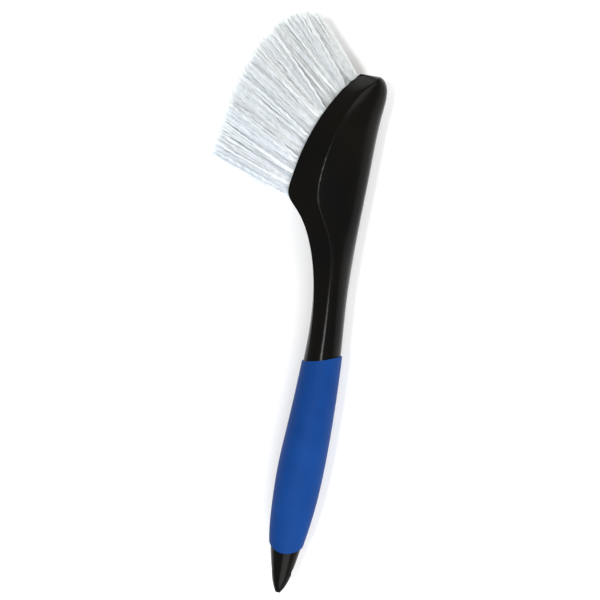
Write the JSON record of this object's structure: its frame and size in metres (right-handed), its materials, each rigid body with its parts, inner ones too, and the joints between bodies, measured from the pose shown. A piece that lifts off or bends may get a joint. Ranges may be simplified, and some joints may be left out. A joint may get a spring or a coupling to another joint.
{
  "type": "wheel brush",
  "caption": "Hand brush for washing wheels: black moulded handle and head, soft blue grip sleeve, and a fan of crimped white bristles on a curved face.",
  "frame": {"origin": "middle of the hang hole, on the brush's plane of symmetry", "axes": "+X along the handle from its tip to the nose of the head, +Y the way the bristles point, +Z across the brush, which lies on its side"},
  "size_m": [0.3342, 0.0946, 0.0422],
  "materials": {
    "handle": "satin black moulded polypropylene with a fine grain",
    "grip": "matte royal blue soft-touch thermoplastic rubber",
    "bristle": "translucent white crimped filaments with a slight gloss",
    "anchor": "flat drawn wire"
  },
  "bodies": {
    "root": {"grip_sleeve": "grip", "handle_core": "handle", "tuft_anchors": "anchor", "tuft_row1_01": "bristle", "tuft_row1_02": "bristle", "tuft_row1_03": "bristle", "tuft_row1_04": "bristle", "tuft_row1_05": "bristle", "tuft_row1_06": "bristle", "tuft_row1_07": "bristle", "tuft_row1_08": "bristle", "tuft_row2_01": "bristle", "tuft_row2_02": "bristle", "tuft_row2_03": "bristle", "tuft_row2_04": "bristle", "tuft_row2_05": "bristle", "tuft_row2_06": "bristle", "tuft_row2_07": "bristle", "tuft_row2_08": "bristle", "tuft_row2_09": "bristle", "tuft_row2_10": "bristle", "tuft_row3_01": "bristle", "tuft_row3_02": "bristle", "tuft_row3_03": "bristle", "tuft_row3_04": "bristle", "tuft_row3_05": "bristle", "tuft_row3_06": "bristle", "tuft_row3_07": "bristle", "tuft_row3_08": "bristle", "tuft_row3_09": "bristle", "tuft_row3_10": "bristle", "tuft_row3_11": "bristle", "tuft_row3_12": "bristle", "tuft_row4_01": "bristle", "tuft_row4_02": "bristle", "tuft_row4_03": "bristle", "tuft_row4_04": "bristle", "tuft_row4_05": "bristle", "tuft_row4_06": "bristle", "tuft_row4_07": "bristle", "tuft_row4_08": "bristle", "tuft_row4_09": "bristle", "tuft_row4_10": "bristle", "tuft_row5_01": "bristle", "tuft_row5_02": "bristle", "tuft_row5_03": "bristle", "tuft_row5_04": "bristle", "tuft_row5_05": "bristle", "tuft_row5_06": "bristle", "tuft_row5_07": "bristle", "tuft_row5_08": "bristle"}
  },
  "joints": []
}
